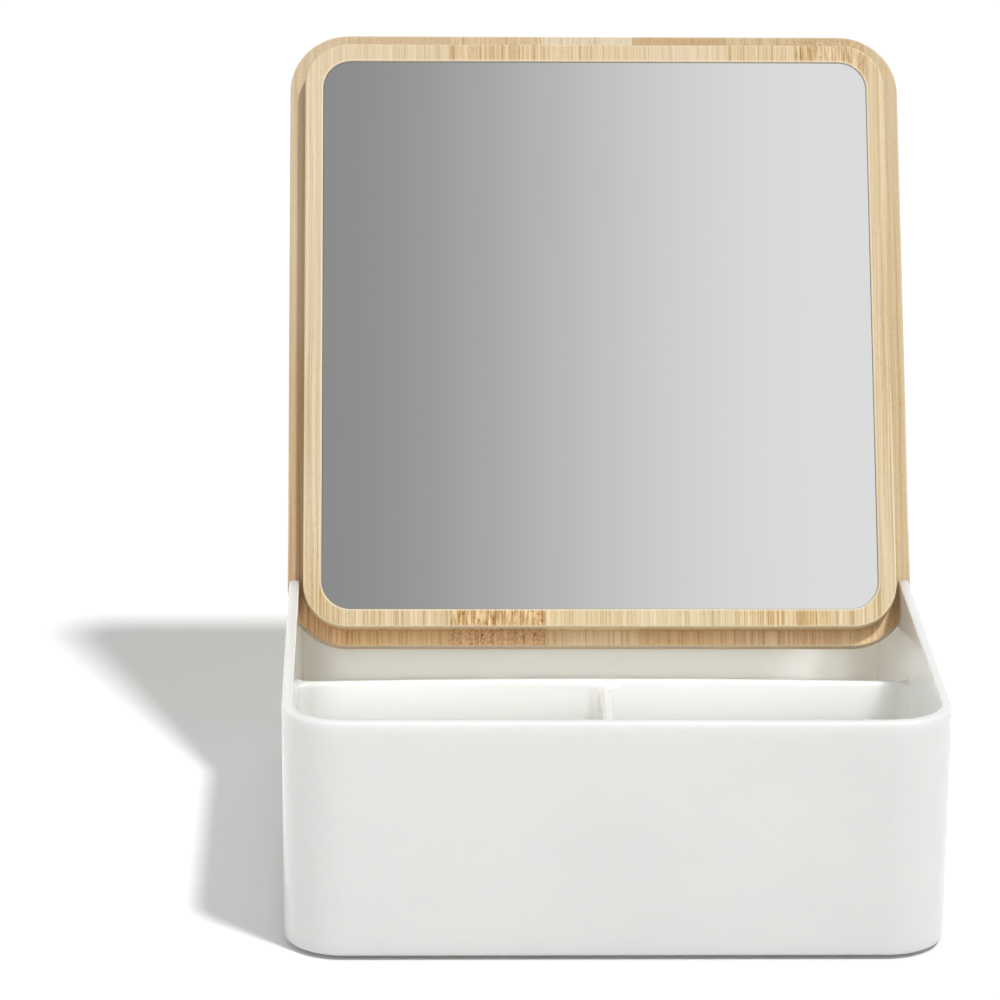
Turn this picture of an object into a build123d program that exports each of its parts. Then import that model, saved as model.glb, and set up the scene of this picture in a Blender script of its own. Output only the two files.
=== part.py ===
from build123d import *
from math import cos, radians, sin, sqrt, tan
import os

# A vanity box: a white moulded tub with three compartments, and a bamboo lid with a mirror let into
# its underside. The lid stands in a slanted slot in each side wall, so the mirror faces the user.
#
# Millimetres. X runs to the right, Y to the back, Z up. The origin is the centre of the tub's
# underside, on the surface that it stands on.

# ---- Driving dimensions: tub ----
TUB_WIDTH = 170.0  # across X, at the rim
TUB_DEPTH = 175.0  # along Y, at the rim
TUB_HEIGHT = 64.0  # standing surface to rim
TUB_CORNER_RADIUS = 16.0
TUB_WALL = 2.8
TUB_FLOOR = 2.4
TUB_DRAFT = 0.3  # degrees that every upright moulded face leans
RIM_OUTER_ROUND = 1.0
RIM_INNER_ROUND = 0.4
BASE_ROUND = 1.0
FLOOR_ROUND = 3.0  # inside, where the floor meets the walls

PLINTH_HEIGHT = 1.0  # the raised pad under the tub that leaves a shadow gap all round
PLINTH_INSET = 4.0

# ---- Driving dimensions: dividers, moulded in one with the tub ----
CROSS_DIVIDER_SETBACK = 85.0  # front of the tub to the cross divider's front face, at its top
CROSS_DIVIDER_THICKNESS = 2.5
CROSS_DIVIDER_CROWN = 0.9  # its top is arched: this is how far the middle stands over the ends
CENTRE_DIVIDER_THICKNESS = 2.5
DIVIDER_DROP = 18.9  # rim to the centre divider's top, and to the ends of the cross divider's
DIVIDER_TOP_ROUND = 1.0
DIVIDER_CORNER_RADIUS = 4.0  # upright corners where a divider meets a wall

# ---- Driving dimensions: lid ----
LID_LEAN = 30.5  # degrees back from upright
LID_OVERHANG = 0.4  # past the tub on every side when it lies closed
LID_FLANGE = 4.2  # the thin outer part that rests on the rim or stands in the slots
LID_BLOCK = 5.3  # how far the raised middle stands out of the flange
LID_BLOCK_CLEARANCE = 1.1  # raised middle to the tub's inner walls
LID_EDGE_ROUND = 0.5
STAVE_COUNT = 7  # bamboo strips glued edge to edge
STAVE_TRIM_LEFT = 7.3  # sawn off the first strip
STAVE_TRIM_RIGHT = 3.2  # sawn off the last strip

SLOT_SETBACK = 118.0  # front of the tub to the lid's flange, at the rim
SLOT_DEPTH = 12.5  # down the slope, from the rim
SLOT_CLEARANCE = 0.4  # on each face of the flange
SEAT_GAP = 0.3  # under the flange's round corners

# ---- Driving dimensions: mirror ----
MIRROR_FRAME = 5.0  # bamboo showing between the mirror and the edge of the raised middle
MIRROR_CORNER_RADIUS = 7.8
MIRROR_THICKNESS = 2.0
MIRROR_RECESS = 0.6  # glass below the bamboo's face
MIRROR_POCKET_CLEARANCE = 0.15
MIRROR_POCKET_ROUND = 0.3
TAPE_THICKNESS = 0.6
TAPE_WIDTH = 20.0
TAPE_END_MARGIN = 12.0  # end of a strip to the edge of the glass
TAPE_PITCH = 52.0
TAPE_NAMES = ("mirror_tape_left", "mirror_tape_centre", "mirror_tape_right")

# ---- Derived sizes ----
CAVITY_WIDTH = TUB_WIDTH - 2 * TUB_WALL
CAVITY_DEPTH = TUB_DEPTH - 2 * TUB_WALL
CAVITY_CORNER_RADIUS = TUB_CORNER_RADIUS - TUB_WALL
FLOOR_LEVEL = PLINTH_HEIGHT + TUB_FLOOR
DIVIDER_TOP = TUB_HEIGHT - DIVIDER_DROP
CROSS_DIVIDER_FRONT = -TUB_DEPTH / 2 + CROSS_DIVIDER_SETBACK
CROSS_DIVIDER_BACK = CROSS_DIVIDER_FRONT + CROSS_DIVIDER_THICKNESS

LID_WIDTH = TUB_WIDTH + 2 * LID_OVERHANG
LID_LENGTH = TUB_DEPTH + 2 * LID_OVERHANG
LID_CORNER_RADIUS = TUB_CORNER_RADIUS + LID_OVERHANG
BLOCK_MARGIN = LID_OVERHANG + TUB_WALL + LID_BLOCK_CLEARANCE
STAVE_WIDTH = (LID_WIDTH + STAVE_TRIM_LEFT + STAVE_TRIM_RIGHT) / STAVE_COUNT

# The flange's round bottom corners stand on the inner edges of the slot bottoms. Their height above
# the lid's lowest edge, where they cross the wall's inner face, follows from the corner circle.
CORNER_INSET = (LID_WIDTH - CAVITY_WIDTH) / 2
CORNER_RISE = LID_CORNER_RADIUS - sqrt(LID_CORNER_RADIUS**2 - (LID_CORNER_RADIUS - CORNER_INSET) ** 2)
LID_SINK = SLOT_DEPTH - SEAT_GAP + CORNER_RISE  # down the slope, from the rim to the lid's lowest edge

POCKET_MARGIN = BLOCK_MARGIN + MIRROR_FRAME
POCKET_DEPTH = MIRROR_RECESS + MIRROR_THICKNESS + TAPE_THICKNESS
POCKET_CORNER_RADIUS = MIRROR_CORNER_RADIUS + MIRROR_POCKET_CLEARANCE
POCKET_FLOOR = LID_BLOCK - POCKET_DEPTH
MIRROR_MARGIN = POCKET_MARGIN + MIRROR_POCKET_CLEARANCE
MIRROR_LENGTH = LID_LENGTH - 2 * MIRROR_MARGIN

OVERRUN = 5.0  # how far a cutting or joining solid runs past the face that it works on


def drift(level):
    """How far an upright moulded face stands in at a level, against its place at the rim."""
    return (TUB_HEIGHT - level) * tan(radians(TUB_DRAFT))


def moulded(outline, top, bottom):
    """The solid under an outline at one level, narrowed by the draft down to another level."""
    return extrude(Pos(0, 0, top) * outline, amount=-(top - bottom), taper=TUB_DRAFT)


def lowest_face(solid):
    return solid.faces().sort_by(Axis.Z)[0]


def highest_face(solid):
    return solid.faces().sort_by(Axis.Z)[-1]


# ---- Tub ----
def tub_shell():
    """The outer walls and floor, with rounded rim and base edges and no dividers."""
    body = moulded(RectangleRounded(TUB_WIDTH, TUB_DEPTH, TUB_CORNER_RADIUS), TUB_HEIGHT, PLINTH_HEIGHT)
    body = fillet(lowest_face(body).edges(), BASE_ROUND)
    body = fillet(highest_face(body).edges(), RIM_OUTER_ROUND)
    cavity_outline = RectangleRounded(CAVITY_WIDTH, CAVITY_DEPTH, CAVITY_CORNER_RADIUS)
    shell = body - moulded(cavity_outline, TUB_HEIGHT, FLOOR_LEVEL)
    return fillet(highest_face(shell).inner_wires()[0].edges(), RIM_INNER_ROUND)


def compartment(left, right, front, back, corner_radii):
    """The space in one compartment, from the floor to the rim; its sides are given at the rim.

    The corner radii run from the front left corner, anticlockwise seen from above.
    """
    corners = ((left, front), (right, front), (right, back), (left, back))
    outline = make_face(FilletPolyline(*corners, radius=corner_radii, close=True).edges())
    space = moulded(outline, TUB_HEIGHT, FLOOR_LEVEL)
    return fillet(lowest_face(space).edges(), FLOOR_ROUND)


def compartments():
    """The front left, front right and rear spaces, held apart by the two dividers."""
    side, end = CAVITY_WIDTH / 2, CAVITY_DEPTH / 2
    cross_front = CROSS_DIVIDER_FRONT + drift(DIVIDER_TOP)
    cross_back = CROSS_DIVIDER_BACK - drift(DIVIDER_TOP)
    centre = CENTRE_DIVIDER_THICKNESS / 2 - drift(DIVIDER_TOP)
    wall, divider = CAVITY_CORNER_RADIUS, DIVIDER_CORNER_RADIUS
    return [
        compartment(-side, -centre, -end, cross_front, [wall, divider, divider, divider]),
        compartment(centre, side, -end, cross_front, [divider, wall, divider, divider]),
        compartment(-side, side, cross_back, end, [divider, divider, wall, wall]),
    ]


def divider_block():
    """Both dividers and the compartments' round corners, up to one level, with rounded top edges.

    Its rim reaches into the tub's walls, so that the two join without a seam.
    """
    reach = TUB_WALL / 2
    outline = RectangleRounded(CAVITY_WIDTH + 2 * reach, CAVITY_DEPTH + 2 * reach, CAVITY_CORNER_RADIUS + reach)
    block = moulded(outline, DIVIDER_TOP, FLOOR_LEVEL - TUB_FLOOR / 2)
    for space in compartments():
        block -= space
    mouths = [edge for wire in highest_face(block).inner_wires() for edge in wire.edges()]
    return fillet(mouths, DIVIDER_TOP_ROUND)


def cross_divider_crown():
    """The arched top of the cross divider, which stands over the rest of the divider block."""
    root = DIVIDER_TOP - 2 * DIVIDER_TOP_ROUND
    spread = drift(root) - drift(DIVIDER_TOP)
    thickness = CROSS_DIVIDER_THICKNESS + 2 * spread
    outline = Rectangle(CAVITY_WIDTH + TUB_WALL, thickness)
    middle = (CROSS_DIVIDER_FRONT + CROSS_DIVIDER_BACK) / 2
    crown = extrude(Pos(0, middle, root) * outline, amount=OVERRUN, taper=TUB_DRAFT)

    half = CAVITY_WIDTH / 2 + TUB_WALL
    left_end, right_end = (-half, 0, DIVIDER_TOP), (half, 0, DIVIDER_TOP)
    arch = ThreePointArc(left_end, (0, 0, DIVIDER_TOP + CROSS_DIVIDER_CROWN), right_end)
    below = Polyline(right_end, (half, 0, 0), (-half, 0, 0), left_end)
    profile = make_face([*arch.edges(), *below.edges()])
    crown &= extrude(profile, amount=TUB_DEPTH, both=True)

    long_edges = highest_face(crown).edges().filter_by(lambda edge: edge.length > CAVITY_WIDTH)
    return fillet(long_edges, DIVIDER_TOP_ROUND)


def lid_slots():
    """The two slanted cuts that the lid's flange stands in."""
    reach = LID_SINK + OVERRUN
    length = reach + SLOT_DEPTH
    thickness = LID_FLANGE + 2 * SLOT_CLEARANCE
    bottom = LID_SINK - SLOT_DEPTH
    across = TUB_WIDTH + 2 * OVERRUN
    cut = lid_frame() * (Pos(0, bottom + length / 2, -LID_FLANGE / 2) * Box(across, length, thickness))
    between_walls = Box(CAVITY_WIDTH - TUB_WALL, 2 * TUB_DEPTH, 4 * TUB_HEIGHT)
    return cut - between_walls


def build_tub():
    """The whole moulding: shell, dividers, plinth and lid slots."""
    inset = PLINTH_INSET + drift(PLINTH_HEIGHT)
    plinth_outline = RectangleRounded(
        TUB_WIDTH - 2 * inset, TUB_DEPTH - 2 * inset, TUB_CORNER_RADIUS - PLINTH_INSET
    )
    tub = tub_shell() + divider_block() + cross_divider_crown()
    tub += extrude(plinth_outline, amount=PLINTH_HEIGHT)
    return tub - lid_slots()


# ---- Lid ----
def lid_frame():
    """The lid's own axes: X across, Y up the slope from its lowest edge, Z out of its mirror side.

    Z is 0 on the front of the flange.
    """
    lean = radians(LID_LEAN)
    rim_crossing = Vector(0, -TUB_DEPTH / 2 + SLOT_SETBACK, TUB_HEIGHT)
    up_slope = Vector(0, sin(lean), cos(lean))
    lowest_edge = rim_crossing - up_slope * LID_SINK
    return Plane(origin=lowest_edge, x_dir=(1, 0, 0), z_dir=(0, -cos(lean), sin(lean)))


def lid_sheet(margin, corner_radius, bottom, top):
    """A flat rounded piece of the lid, a margin in from its edge, between two levels."""
    outline = RectangleRounded(LID_WIDTH - 2 * margin, LID_LENGTH - 2 * margin, corner_radius)
    return extrude(Pos(0, LID_LENGTH / 2, bottom) * outline, amount=top - bottom)


def lid_board():
    """The bamboo board before it is seen as strips: flange, raised middle and mirror pocket."""
    flange = lid_sheet(0, LID_CORNER_RADIUS, -LID_FLANGE, 0)
    flange_edges = [*lowest_face(flange).edges(), *highest_face(flange).edges()]
    flange = fillet(flange_edges, LID_EDGE_ROUND)

    block = lid_sheet(BLOCK_MARGIN, LID_CORNER_RADIUS - BLOCK_MARGIN, -LID_FLANGE / 2, LID_BLOCK)
    block = fillet(highest_face(block).edges(), LID_EDGE_ROUND)
    block -= lid_sheet(POCKET_MARGIN, POCKET_CORNER_RADIUS, POCKET_FLOOR, LID_BLOCK + OVERRUN)
    block = fillet(highest_face(block).inner_wires()[0].edges(), MIRROR_POCKET_ROUND)
    return flange + block


def lid_staves():
    """The board's strips, from left to right, each its own solid between two glue lines."""
    board = lid_board()
    first_line = -LID_WIDTH / 2 - STAVE_TRIM_LEFT
    staves = {}
    for index in range(STAVE_COUNT):
        middle = first_line + (index + 0.5) * STAVE_WIDTH
        strip = Pos(middle, LID_LENGTH / 2, 0) * Box(STAVE_WIDTH, 2 * LID_LENGTH, 4 * LID_BLOCK)
        staves[f"lid_stave_{index + 1}"] = lid_frame() * (board & strip)
    return staves


def mirror():
    """The glass plate, and the strips of mounting tape that hold it in its pocket."""
    glass_bottom = POCKET_FLOOR + TAPE_THICKNESS
    glass_top = glass_bottom + MIRROR_THICKNESS
    pieces = {"mirror_glass": lid_frame() * lid_sheet(MIRROR_MARGIN, MIRROR_CORNER_RADIUS, glass_bottom, glass_top)}

    strip = Box(TAPE_WIDTH, MIRROR_LENGTH - 2 * TAPE_END_MARGIN, TAPE_THICKNESS)
    for index, name in enumerate(TAPE_NAMES):
        across = (index - (len(TAPE_NAMES) - 1) / 2) * TAPE_PITCH
        pieces[name] = lid_frame() * (Pos(across, LID_LENGTH / 2, POCKET_FLOOR + TAPE_THICKNESS / 2) * strip)
    return pieces


def main():
    """Write every piece to its own file."""
    pieces = {"box_tub": build_tub(), **lid_staves(), **mirror()}
    os.makedirs("parts", exist_ok=True)
    for name, piece in pieces.items():
        piece.label = name
        export_step(piece, f"parts/{name}.step")
        print(f"{name}: {len(piece.solids())} solid, {piece.volume:.0f} mm3")


main()
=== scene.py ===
"""Looks, studio and camera for the vanity box with a mirror lid.

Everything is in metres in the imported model's frame: X to the right, Y to the back, Z up, with the
origin on the standing surface under the middle of the tub.
"""

import logging
import math
from dataclasses import dataclass
from enum import Enum
from functools import cache

import bpy
from mathutils import Matrix, Vector


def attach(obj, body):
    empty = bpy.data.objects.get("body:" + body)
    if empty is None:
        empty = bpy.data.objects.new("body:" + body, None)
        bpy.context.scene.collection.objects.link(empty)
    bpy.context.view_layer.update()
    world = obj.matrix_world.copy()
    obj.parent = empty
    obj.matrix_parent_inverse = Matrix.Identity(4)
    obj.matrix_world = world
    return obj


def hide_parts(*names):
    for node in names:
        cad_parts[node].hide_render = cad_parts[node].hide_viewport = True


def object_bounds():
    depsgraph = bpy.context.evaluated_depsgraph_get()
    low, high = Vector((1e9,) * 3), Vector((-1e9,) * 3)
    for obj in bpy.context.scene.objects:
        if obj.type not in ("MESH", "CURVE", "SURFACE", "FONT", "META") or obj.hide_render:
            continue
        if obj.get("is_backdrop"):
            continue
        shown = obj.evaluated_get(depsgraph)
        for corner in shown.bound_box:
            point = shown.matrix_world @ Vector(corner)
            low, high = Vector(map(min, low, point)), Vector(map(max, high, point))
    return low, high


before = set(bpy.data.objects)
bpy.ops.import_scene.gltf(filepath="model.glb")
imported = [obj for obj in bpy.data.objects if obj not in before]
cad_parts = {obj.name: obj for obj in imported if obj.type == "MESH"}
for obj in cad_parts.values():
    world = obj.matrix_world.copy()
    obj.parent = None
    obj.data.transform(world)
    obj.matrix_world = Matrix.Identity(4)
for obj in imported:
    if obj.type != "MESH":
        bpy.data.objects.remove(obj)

LOG = logging.getLogger("vanity_box")

Numbers = tuple[float, ...]
Socket = bpy.types.NodeSocket
Given = Socket | float | Numbers
WHITE: Numbers = (1.0, 1.0, 1.0, 1.0)


class Body(Enum):
    """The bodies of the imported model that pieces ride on."""

    TUB = "tub"
    LID = "lid"


class SocketKind(Enum):
    """What an input or an output of a node group carries."""

    NUMBER = "NodeSocketFloat"
    COUNT = "NodeSocketInt"
    VECTOR = "NodeSocketVector"
    GEOMETRY = "NodeSocketGeometry"


Sockets = dict[str, SocketKind]
PLACE: Sockets = {"Position": SocketKind.VECTOR}
GEOMETRY: Sockets = {"Geometry": SocketKind.GEOMETRY}


def numbers(*labels: str) -> Sockets:
    """Sockets that carry a number each."""
    return dict.fromkeys(labels, SocketKind.NUMBER)


def screen(*shown: float) -> Numbers:
    """Turn red, green and blue as a screen shows them, 0 to 255, into the linear colour."""
    parts = (part / 255 for part in shown)
    return (*(((p + 0.055) / 1.055) ** 2.4 if p > 0.04045 else p / 12.92 for p in parts), 1.0)


def add_object(name: str, data: bpy.types.ID) -> bpy.types.Object:
    """Put a new object into the scene.

    Args:
        name: The object's name.
        data: Its mesh, lamp or camera.

    Returns:
        The object.
    """
    made = bpy.data.objects.new(name, data)
    bpy.context.scene.collection.objects.link(made)
    return made


# ---- Node trees ----
class Nodes:
    """Adds and joins nodes in one tree, with short calls for the usual sums."""

    def __init__(self, tree: bpy.types.NodeTree) -> None:
        """Work on a tree."""
        self.tree = tree

    def feed(self, socket: Socket, given: Given) -> None:
        """Join a socket to an input, or set the input's own value.

        Args:
            socket: The input.
            given: An output socket, a number or several numbers.
        """
        if isinstance(given, Socket):
            self.tree.links.new(given, socket)
        else:
            socket.default_value = given

    def add(
        self, kind: str, inputs: dict[str, Given] | None = None, **options: object
    ) -> bpy.types.Node:
        """Add a node.

        Args:
            kind: Blender's name for the node's type.
            inputs: What goes into its named inputs.
            **options: The node's own settings.

        Returns:
            The new node.
        """
        node = self.tree.nodes.new(kind)
        for option, value in options.items():
            setattr(node, option, value)
        for name, given in (inputs or {}).items():
            self.feed(node.inputs[name], given)
        return node

    def sum(self, operation: str, *given: Given) -> Socket:
        """Work out one number from others.

        Args:
            operation: The Math node's operation.
            *given: Its operands.

        Returns:
            The result's socket.
        """
        node = self.add("ShaderNodeMath", operation=operation)
        for socket, value in zip(node.inputs, given):
            self.feed(socket, value)
        return node.outputs[0]

    def times(self, first: Given, second: Given) -> Socket:
        """Multiply two numbers."""
        return self.sum("MULTIPLY", first, second)

    def minus(self, first: Given, second: Given) -> Socket:
        """Take the second number from the first."""
        return self.sum("SUBTRACT", first, second)

    def vector(self, operation: str, *given: Given) -> Socket:
        """Work out one vector, or one number, from vectors.

        Args:
            operation: The Vector Math node's operation.
            *given: Its operands.

        Returns:
            The result's socket.
        """
        node = self.add("ShaderNodeVectorMath", operation=operation)
        for socket, value in zip(node.inputs, given):
            self.feed(socket, value)
        return node.outputs["Value" if operation in ("DOT_PRODUCT", "LENGTH") else "Vector"]

    def join(self, x: Given, y: Given, z: Given) -> Socket:
        """Make a vector of three numbers."""
        return self.add("ShaderNodeCombineXYZ", {"X": x, "Y": y, "Z": z}).outputs[0]

    def split(self, vector: Given) -> tuple[Socket, ...]:
        """Take a vector's X, Y and Z apart."""
        return tuple(self.add("ShaderNodeSeparateXYZ", {"Vector": vector}).outputs)

    def spread(
        self, value: Given, low: Given, high: Given, first: Given = 0.0, last: Given = 1.0
    ) -> Socket:
        """Carry a number smoothly from low..high to first..last, held at both ends."""
        ends = {"Value": value, "From Min": low, "From Max": high, "To Min": first, "To Max": last}
        return self.add("ShaderNodeMapRange", ends, interpolation_type="SMOOTHSTEP").outputs[0]

    def mix(self, factor: Given, first: Given, second: Given, blend: str = "MIX") -> Socket:
        """Mix two colours.

        Args:
            factor: 0 for the first colour, 1 for the second.
            first: The first colour.
            second: The second colour.
            blend: The Mix node's blend type.

        Returns:
            The mixed colour's socket.
        """
        node = self.add("ShaderNodeMix", data_type="RGBA", blend_type=blend)
        for index, value in ((0, factor), (6, first), (7, second)):
            self.feed(node.inputs[index], value)
        return node.outputs[2]

    def cloud(
        self, position: Given, grain: Given, detail: float = 2.0, roughness: float = 0.5
    ) -> Socket:
        """Soft noise, whose grain may be longer in one direction.

        Args:
            position: Where it is read, in metres.
            grain: The size of its grain along X, Y and Z, in metres.
            detail: How many finer layers it has.
            roughness: How strong the finer layers are.

        Returns:
            A socket whose values lie round 0.5.
        """
        place = self.vector("DIVIDE", position, grain)
        inputs = {"Vector": place, "Scale": 1.0, "Detail": detail, "Roughness": roughness}
        return self.add("ShaderNodeTexNoise", inputs).outputs[0]


class NodeGroup:
    """A group of nodes, which is built once and may be placed in many materials."""

    def __init__(
        self, name: str, inputs: Sockets, outputs: Sockets, kind: str = "ShaderNodeTree"
    ) -> None:
        """Make an empty group.

        Args:
            name: The group's name.
            inputs: What each named input carries.
            outputs: What each named output carries.
            kind: Blender's name for the tree's type.
        """
        self.tree = bpy.data.node_groups.new(name, kind)
        for sockets, side in ((inputs, "INPUT"), (outputs, "OUTPUT")):
            for label, carries in sockets.items():
                self.tree.interface.new_socket(name=label, in_out=side, socket_type=carries.value)
        self.nodes = Nodes(self.tree)
        self.given = self.nodes.add("NodeGroupInput").outputs
        self.result = self.nodes.add("NodeGroupOutput").inputs

    def give(self, **results: Given) -> None:
        """Join the group's outputs."""
        for label, given in results.items():
            self.nodes.feed(self.result[label], given)

    def place(self, nodes: Nodes, position: Given, **values: Given) -> bpy.types.NodeOutputs:
        """Put the group into a material.

        Args:
            nodes: The material's nodes.
            position: The place that it reads.
            **values: What goes into its other inputs, in small letters with _ for a space.

        Returns:
            The group's outputs.
        """
        node = nodes.add("ShaderNodeGroup", node_tree=self.tree)
        nodes.feed(node.inputs["Position"], position)
        for label, value in values.items():
            nodes.feed(node.inputs[label.replace("_", " ").title()], value)
        return node.outputs


class Finish:
    """One material: its tree, its Principled shader and what feeds them."""

    def __init__(self, name: str, **constants: float | Numbers) -> None:
        """Start a material.

        Args:
            name: The material's name.
            **constants: Values set on the shader itself, with _ for a space in a socket's name.
        """
        self.material = bpy.data.materials.new(name)
        self.material.use_nodes = True
        self.nodes = Nodes(self.material.node_tree)
        self.shader = self.material.node_tree.nodes["Principled BSDF"]
        for socket, value in constants.items():
            self.shader.inputs[socket.replace("_", " ")].default_value = value
        self.place = self.nodes.add("ShaderNodeTexCoord").outputs["Object"]

    def drive(self, socket: str, given: Given) -> None:
        """Join something to one of the shader's inputs."""
        self.nodes.feed(self.shader.inputs[socket], given)

    def relief(self, height: Given, depth: float, strength: float) -> None:
        """Raise the surface by a pattern, 0 to 1, where 1 stands for a depth in metres."""
        inputs = {"Height": height, "Distance": depth, "Strength": strength}
        self.drive("Normal", self.nodes.add("ShaderNodeBump", inputs).outputs["Normal"])


# ---- Effects that several finishes share ----
@dataclass(frozen=True)
class LidAxes:
    """The lid's axes: X across, Y up the slope from its lowest edge, Z out of its mirror side."""

    lean: float = 30.5
    slot_setback: float = 0.118
    tub_depth: float = 0.175
    tub_height: float = 0.064
    sink: float = 0.01887

    def matrix(self) -> Matrix:
        """Work out where the lid's axes are.

        Returns:
            The matrix from the lid's axes to the model's frame.
        """
        lean = math.radians(self.lean)
        up_slope = Vector((0, math.sin(lean), math.cos(lean)))
        rim_crossing = Vector((0, self.slot_setback - self.tub_depth / 2, self.tub_height))
        seat = Matrix.Translation(rim_crossing - up_slope * self.sink)
        return seat @ Matrix.Rotation(math.pi / 2 - lean, 4, "X")

    def group(self) -> NodeGroup:
        """Build the group that turns a place in the model's frame into a place on the lid.

        Returns:
            The group, which gives a Position.
        """
        group = NodeGroup("place_on_lid", PLACE, PLACE)
        back = self.matrix().inverted()
        turn = {"Location": back.to_translation(), "Rotation": back.to_euler()}
        inputs = {"Vector": group.given["Position"], **turn}
        turned = group.nodes.add("ShaderNodeMapping", inputs, vector_type="POINT")
        group.give(Position=turned.outputs[0])
        return group


@dataclass(frozen=True)
class BambooFibres:
    """The long fibres of bamboo: broad bands, fibre bundles and single fibres, all along Y."""

    band: float = 0.0042
    fibre: float = 0.00036
    pore: float = 0.0019
    sway: float = 0.0016
    sway_grain: Numbers = (0.02, 0.045, 0.02)
    band_stretch: float = 2.0
    fibre_stretch: float = 0.35
    band_levels: Numbers = (0.32, 0.68)
    dark_levels: Numbers = (0.52, 0.64)
    pale_levels: Numbers = (0.48, 0.34)
    fibre_levels: Numbers = (0.30, 0.70)
    pore_levels: Numbers = (0.55, 0.72)
    darkest: float = -1.5
    palest: float = 0.9
    band_share: float = 0.16
    fibre_share: float = 0.6
    pore_share: float = 0.6
    seed_step: Numbers = (0.071, 0.37, 0.043)

    def group(self) -> NodeGroup:
        """Build the group that gives the fibres' tone.

        Returns:
            The group, which gives a Tone of about -1 dark to 1 pale.
        """
        inputs = PLACE | numbers("Seed", "Bundle Width", "Fibre Length")
        group = NodeGroup("bamboo_fibres", inputs, numbers("Tone"))
        nodes, given = group.nodes, group.given
        seed = given["Seed"]
        shift = nodes.vector("MULTIPLY", nodes.join(seed, seed, seed), self.seed_step)
        place = nodes.vector("ADD", given["Position"], shift)
        sway = nodes.minus(nodes.cloud(place, self.sway_grain, 1.0), 0.5)
        place = nodes.vector("ADD", place, nodes.join(nodes.times(sway, self.sway), 0.0, 0.0))

        def along(width: Given, stretch: float) -> Socket:
            """The grain of one layer of fibres."""
            return nodes.join(width, nodes.times(given["Fibre Length"], stretch), width)

        bands = nodes.cloud(place, along(self.band, self.band_stretch), 1.0)
        bands = nodes.spread(bands, *self.band_levels, -1.0, 1.0)
        bundles = nodes.cloud(place, along(given["Bundle Width"], 1.0), 2.0, 0.7)
        dark = nodes.spread(bundles, *self.dark_levels, 0.0, self.darkest)
        pale = nodes.spread(bundles, *self.pale_levels, 0.0, self.palest)
        single = nodes.cloud(place, along(self.fibre, self.fibre_stretch), 1.0)
        single = nodes.spread(single, *self.fibre_levels, -1.0, 1.0)
        pores = nodes.cloud(place, (self.fibre, self.pore, self.fibre), 1.0)
        pores = nodes.spread(pores, *self.pore_levels, 0.0, -1.0)
        parts = nodes.sum("MULTIPLY_ADD", bands, self.band_share, nodes.sum("ADD", dark, pale))
        parts = nodes.sum("MULTIPLY_ADD", single, self.fibre_share, parts)
        group.give(Tone=nodes.sum("MULTIPLY_ADD", pores, self.pore_share, parts))
        return group


@dataclass(frozen=True)
class CulmKnots:
    """The band across a bamboo strip where the culm had a joint: fibres tangle and turn brown.

    The flecks are long on the lid's two faces, and short and faint on its flange.
    """

    fleck: float = 0.00060
    face_length: float = 0.0060
    flange_length: float = 0.0008
    spot: Numbers = (0.0009, 0.00126, 0.0009)
    spot_strength: float = -1.4
    spot_levels: Numbers = (0.66, 0.74)
    fleck_levels: Numbers = (0.40, 0.58)
    ragged: float = 0.008
    ragged_grain: Numbers = (0.0014, 0.006, 0.0014)
    reach_levels: Numbers = (0.7, 1.15)
    edge: float = 0.0004
    behind_flange: float = -0.0034
    face_levels: Numbers = (0.0002, 0.0006)
    flange_strength: float = 0.55

    def group(self) -> NodeGroup:
        """Build the group that gives one knot band.

        Returns:
            The group, which gives the band's Mask and its Flecks, -1 dark to 1 pale.
        """
        inputs = PLACE | numbers("Seed", "Middle", "Reach", "Left", "Right")
        group = NodeGroup("culm_knots", inputs, numbers("Mask", "Flecks"))
        nodes, given = group.nodes, group.given
        x, y, z = nodes.split(given["Position"])
        shift = nodes.join(given["Seed"], 0.0, given["Seed"])
        place = nodes.vector("ADD", given["Position"], shift)
        ragged = nodes.minus(nodes.cloud(place, self.ragged_grain), 0.5)
        off = nodes.sum("ABSOLUTE", nodes.minus(y, given["Middle"]))
        off = nodes.sum("MULTIPLY_ADD", ragged, self.ragged, off)
        mask = nodes.spread(nodes.sum("DIVIDE", off, given["Reach"]), *self.reach_levels, 1.0, 0.0)
        for inward in (nodes.minus(x, given["Left"]), nodes.minus(given["Right"], x)):
            mask = nodes.times(mask, nodes.spread(inward, -self.edge, self.edge))
        out = nodes.sum("MAXIMUM", z, nodes.minus(self.behind_flange, z))
        length = nodes.spread(out, *self.face_levels, self.flange_length, self.face_length)
        grain = nodes.join(self.fleck, length, self.fleck)
        flecks = nodes.spread(nodes.cloud(place, grain, 2.0, 0.65), *self.fleck_levels, 1.0, -1.0)
        strength = nodes.spread(out, *self.face_levels, self.flange_strength, 1.0)
        flecks = nodes.times(flecks, strength)
        spots = nodes.cloud(place, self.spot, 1.0)
        spots = nodes.spread(spots, *self.spot_levels, 0.0, self.spot_strength)
        group.give(Mask=mask, Flecks=nodes.sum("ADD", flecks, spots))
        return group


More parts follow.
